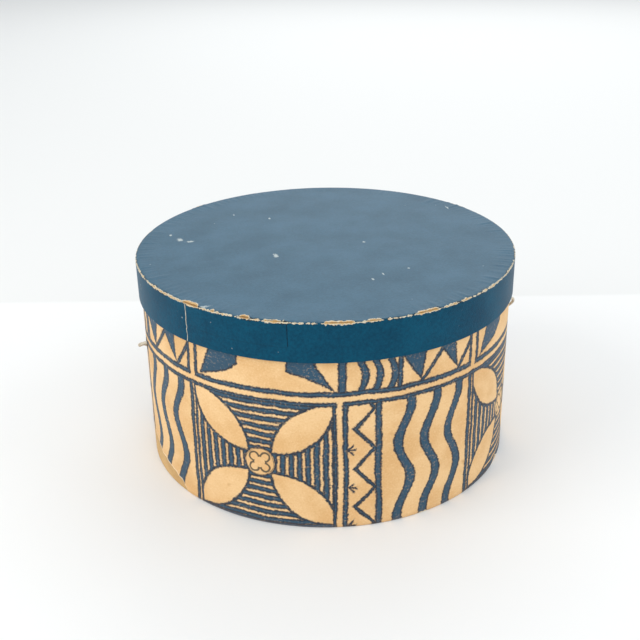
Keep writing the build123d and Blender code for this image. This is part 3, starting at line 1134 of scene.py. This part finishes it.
# ---------------------------------------------------------------- the cord
@dataclass
class Cord:
    """The twisted cotton handle and its stopper knots.

    A point of the route is (degrees from +X, distance from the Z axis, height), as the CAD gives
    it, in millimetres.
    """

    diameter: float = 3.0 * MM
    lay_length: float = 9.5 * MM
    strands: int = 3
    route: tuple[tuple[float, float, float], ...] = (
        (0, 161.66, 113), (0, 173, 113), (0.2, 189.5, 111.6), (2.8, 192, 100.5), (8, 185.5, 89),
        (14.5, 178, 77), (22.5, 173, 64), (32, 171.2, 50), (42.5, 171.6, 35.5), (53.5, 174.5, 21.5),
        (65, 180, 9.5), (76, 184.5, 1.6), (88, 186, 1.6), (100, 183, 2.6), (111.5, 178, 8.5),
        (122.5, 173.8, 20.5), (133.5, 171.4, 36), (144.5, 170.9, 53), (155, 170.9, 72),
        (165, 171.3, 91.5), (176.5, 172.5, 105.5), (180, 170.4, 113), (180, 161.66, 113),
    )

    def points(self) -> list[Vector]:
        """The route's points in metres."""
        return [
            Vector((reach * math.cos(math.radians(turn)), reach * math.sin(math.radians(turn)), height)) * MM
            for turn, reach, height in self.route
        ]

    @staticmethod
    def line(name: str, points: Sequence[Vector], resolution: int = 12) -> list[Vector]:
        """Points read from a smooth spline that follows a route."""
        curve = bpy.data.curves.new(name, "CURVE")
        curve.dimensions = "3D"
        spline = curve.splines.new("NURBS")
        spline.points.add(len(points) - 1)
        for target, point in zip(spline.points, points):
            target.co = (*point, 1.0)
        spline.order_u = 3
        spline.use_endpoint_u = True
        spline.resolution_u = resolution
        holder = bpy.data.objects.new(name, curve)
        mesh = bpy.data.meshes.new_from_object(holder)
        read = [vert.co.copy() for vert in mesh.vertices]
        bpy.data.objects.remove(holder)
        bpy.data.meshes.remove(mesh)
        bpy.data.curves.remove(curve)
        return read

    @staticmethod
    def stepped(path: Sequence[Vector], step: float) -> list[Vector]:
        """The same line in even steps."""
        made, carried = [path[0].copy()], 0.0
        for start, end in zip(path, path[1:]):
            length = (end - start).length
            place = step - carried
            while place <= length:
                made.append(start.lerp(end, place / length))
                place += step
            carried = length - (place - step)
        if (made[-1] - path[-1]).length > step * 0.2:
            made.append(path[-1].copy())
        return made

    def twist(self, name: str, path: Sequence[Vector], material: bpy.types.Material) -> bpy.types.Object:
        """Lays three strands round a line.

        Args:
            name: the piece's name.
            path: the centre line.
            material: the strands' finish.

        Returns:
            One mesh of closed strands.
        """
        strand = self.diameter * 0.255
        offset = self.diameter / 2 - strand
        curve = bpy.data.curves.new(name, "CURVE")
        curve.dimensions = "3D"
        curve.bevel_depth = strand
        curve.bevel_resolution = 2
        curve.use_fill_caps = True
        places = self.stepped(path, self.lay_length / 12)
        frames = self.frames(places)
        for number in range(self.strands):
            spline = curve.splines.new("POLY")
            spline.points.add(len(places) - 1)
            for i, (place, (side, up)) in enumerate(zip(places, frames)):
                turn = math.tau * (i / 12 + number / self.strands)
                away = side * math.cos(turn) + up * math.sin(turn)
                spline.points[i].co = (*(place + away * offset), 1.0)
        holder = bpy.data.objects.new(name + "_line", curve)
        data = bpy.data.meshes.new_from_object(holder)
        bpy.data.objects.remove(holder)
        bpy.data.curves.remove(curve)
        mesh = bmesh.new()
        mesh.from_mesh(data)
        bpy.data.meshes.remove(data)
        bmesh.ops.remove_doubles(mesh, verts=mesh.verts[:], dist=1e-7)
        bmesh.ops.recalc_face_normals(mesh, faces=mesh.faces[:])
        for face in mesh.faces:
            face.smooth = True
        return piece(name, mesh, material)

    @staticmethod
    def frames(places: Sequence[Vector]) -> list[tuple[Vector, Vector]]:
        """Two directions square to a line at each of its points, carried along without a twist."""
        made: list[tuple[Vector, Vector]] = []
        side = Vector((0.0, 0.0, 1.0))
        for before, after in zip([places[0], *places[:-1]], [*places[1:], places[-1]]):
            ahead = (after - before).normalized()
            side = (side - ahead * side.dot(ahead)).normalized()
            made.append((side.copy(), ahead.cross(side)))
        return made

    def knot(self, node: str, material: bpy.types.Material) -> bpy.types.Object:
        """A pulled overhand knot where the CAD has its stopper, with a short tail."""
        low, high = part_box(node)
        outwards = 1.0 if high.x > 0 else -1.0
        centre = (low + high) / 2
        loop = []
        for i in range(37):
            turn = math.tau * (i / 36) * 0.94 + 0.2
            x = math.sin(3 * turn) * 0.9
            y = math.sin(turn) + 2 * math.sin(2 * turn)
            z = math.cos(turn) - 2 * math.cos(2 * turn)
            loop.append(centre + Vector((x * 1.5 * outwards, y * 1.15, z * 1.15)) * MM)
        start = Vector(((high.x if outwards > 0 else low.x), centre.y, centre.z))
        tail = loop[-1] + Vector((-4.0 * outwards, 1.5, -6.0)) * MM
        path = self.line(node + "_route", [start, *loop, tail], 4)
        return self.twist(node.replace("knot", "stopper_knot"), path, material)

    def build(self) -> None:
        material = CordFinish().material()
        path = self.line("handle_route", self.points())
        handle = self.twist("handle_cord", path, material)
        settle(handle, Body.BOX, "cord_cotton", "cord_handle")
        for node in ("knot_left", "knot_right"):
            made = self.knot(node, material)
            settle(made, Body.BOX, "cord_cotton", node)


# ---------------------------------------------------------------- CAD pieces that keep their shape
def dress_frame() -> None:
    """Gives every CAD piece that stays its finish."""
    board = BoardFinish().material()
    lining = PlainPaper(
        "lining_paper", pale=srgb(232, 222, 198), dark=srgb(214, 200, 170), stain=srgb(180, 150, 108)
    ).material()
    tape = PlainPaper(
        "tape", pale=srgb(206, 184, 142), dark=srgb(184, 158, 114), stain=srgb(150, 118, 78), roughness=0.6
    ).material()
    under = PlainPaper(
        "base_paper", pale=srgb(156, 134, 104), dark=srgb(120, 98, 72), stain=srgb(84, 64, 46), roughness=0.85
    ).material()
    wire = MetalFinish("stitch_wire", srgb(150, 148, 142), srgb(96, 82, 70)).material()
    eyelet = MetalFinish("eyelet_metal", srgb(120, 112, 96), srgb(58, 56, 54)).material()
    finishes = {
        board: ("lid_top_board", "lid_rim_board", "body_wall_board", "base_board"),
        lining: ("lid_rim_lining", "lid_top_lining", "body_wall_lining", "base_lining"),
        tape: ("lid_corner_tape", "base_corner_tape"),
        under: ("base_outer_paper",),
        wire: ("lid_rim_stitches", "body_wall_stitches"),
        eyelet: ("eyelet_left", "eyelet_right"),
    }
    for material, nodes in finishes.items():
        for node in nodes:
            dress(node, material)
            log.info("dressed %s", node)


# ---------------------------------------------------------------- the studio
@dataclass(frozen=True)
class Studio:
    """Camera, table and soft daylight. Distances are in metres and angles in degrees."""

    bearing: float = -15.0
    distance: float = 0.91624
    above: float = 20.576
    look_down: float = 24.84
    pan: float = -0.377
    roll: float = -0.924
    lens: float = 57.34
    table_behind: float = 0.306

    def turn(self) -> Matrix:
        """Turns right, ahead and up, as the viewer sees them, into the box's own frame."""
        return Matrix.Rotation(math.radians(self.bearing), 3, "Z")

    def camera(self) -> None:
        """Sets up the camera."""
        rise, down = math.radians(self.above), math.radians(self.look_down)
        pan, roll = math.radians(self.pan), math.radians(self.roll)
        top = Vector((0, 0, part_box("lid_top_paper")[1].z))
        place = Vector((0, -math.cos(rise), math.sin(rise))) * self.distance
        ahead = Vector((math.sin(pan) * math.cos(down), math.cos(pan) * math.cos(down), -math.sin(down)))
        right = Vector((math.cos(pan), -math.sin(pan), 0))
        up = right.cross(ahead)
        leaned_right = right * math.cos(roll) + up * math.sin(roll)
        leaned_up = up * math.cos(roll) - right * math.sin(roll)
        axes = Matrix((leaned_right, leaned_up, -ahead)).transposed()
        data = bpy.data.cameras.new("camera")
        data.lens = self.lens
        data.sensor_width = 36.0
        made = bpy.data.objects.new("camera", data)
        bpy.context.scene.collection.objects.link(made)
        made.matrix_world = Matrix.Translation(self.turn() @ place + top) @ (self.turn() @ axes).to_4x4()
        bpy.context.scene.camera = made

    def table(self) -> None:
        """Makes the pale table top, with the greyer floor of the room beyond its far edge."""
        mesh = bmesh.new()
        bmesh.ops.create_grid(mesh, x_segments=2, y_segments=2, size=6.0)
        graph = Graph("table")
        x, y, _ = graph.parts(graph.place())
        lean = math.radians(self.bearing)
        ahead = y * math.cos(lean) - x * math.sin(lean)
        soft = graph.cloud(graph.place(), 1.3, 2.0) * 0.012
        near = graph.mix(srgb(243, 243, 240), srgb(238, 238, 237), soft * 60.0)
        beyond = ahead.step(self.table_behind - 0.004, self.table_behind + 0.006)
        colour = graph.mix(near, srgb(234, 234, 231), beyond)
        material = graph.finish(Base_Color=colour, Roughness=0.7, Specular_IOR_Level=0.2)
        made = piece("table", mesh, material)

    def lamp(
        self, name: str, place: Sequence[float], size: float, power: float, tint: Sequence[float]
    ) -> None:
        """Hangs a soft square lamp that faces the box.

        Args:
            name: the lamp's name.
            place: right, ahead and up of the box as the viewer sees it.
            size: its side.
            power: its watts.
            tint: its colour.
        """
        data = bpy.data.lights.new(name, "AREA")
        data.shape = "SQUARE"
        data.size = size
        data.energy = power
        data.color = tint[:3]
        made = bpy.data.objects.new(name, data)
        bpy.context.scene.collection.objects.link(made)
        at = self.turn() @ Vector(place)
        facing = (Vector((0, 0, 0.1)) - at).to_track_quat("-Z", "Y")
        made.matrix_world = Matrix.Translation(at) @ facing.to_matrix().to_4x4()

    def daylight(self) -> None:
        """Lights the room: an even pale surround and four soft lamps."""
        world = bpy.data.worlds.new("daylight")
        world.use_nodes = True
        bpy.context.scene.world = world
        background = world.node_tree.nodes["Background"]
        background.inputs["Color"].default_value = (0.93, 0.96, 1.0, 1.0)
        background.inputs["Strength"].default_value = 0.78
        self.lamp("window_left", (-1.9, -0.9, 1.5), 1.6, 22.0, (1.0, 0.99, 0.97))
        self.lamp("window_front", (0.5, -2.4, 1.5), 1.8, 13.0, (1.0, 0.98, 0.95))
        self.lamp("sky_back", (0.4, 2.4, 1.7), 2.4, 22.0, (0.96, 0.98, 1.0))
        self.lamp("window_right", (2.0, -0.2, 1.5), 1.8, 11.0, (0.93, 0.96, 1.0))
        bpy.context.scene.view_settings.view_transform = "Standard"

    def build(self) -> None:
        """Makes everything round the box."""
        self.camera()
        self.table()
        self.daylight()


def main() -> None:
    """Builds the pieces in order."""
    logging.basicConfig(level=logging.INFO, format="%(name)s: %(message)s")
    Studio().build()
    Cord().build()
    dress_frame()
    Box().build()
    Lid().build()


if __name__ == "__main__":
    main()
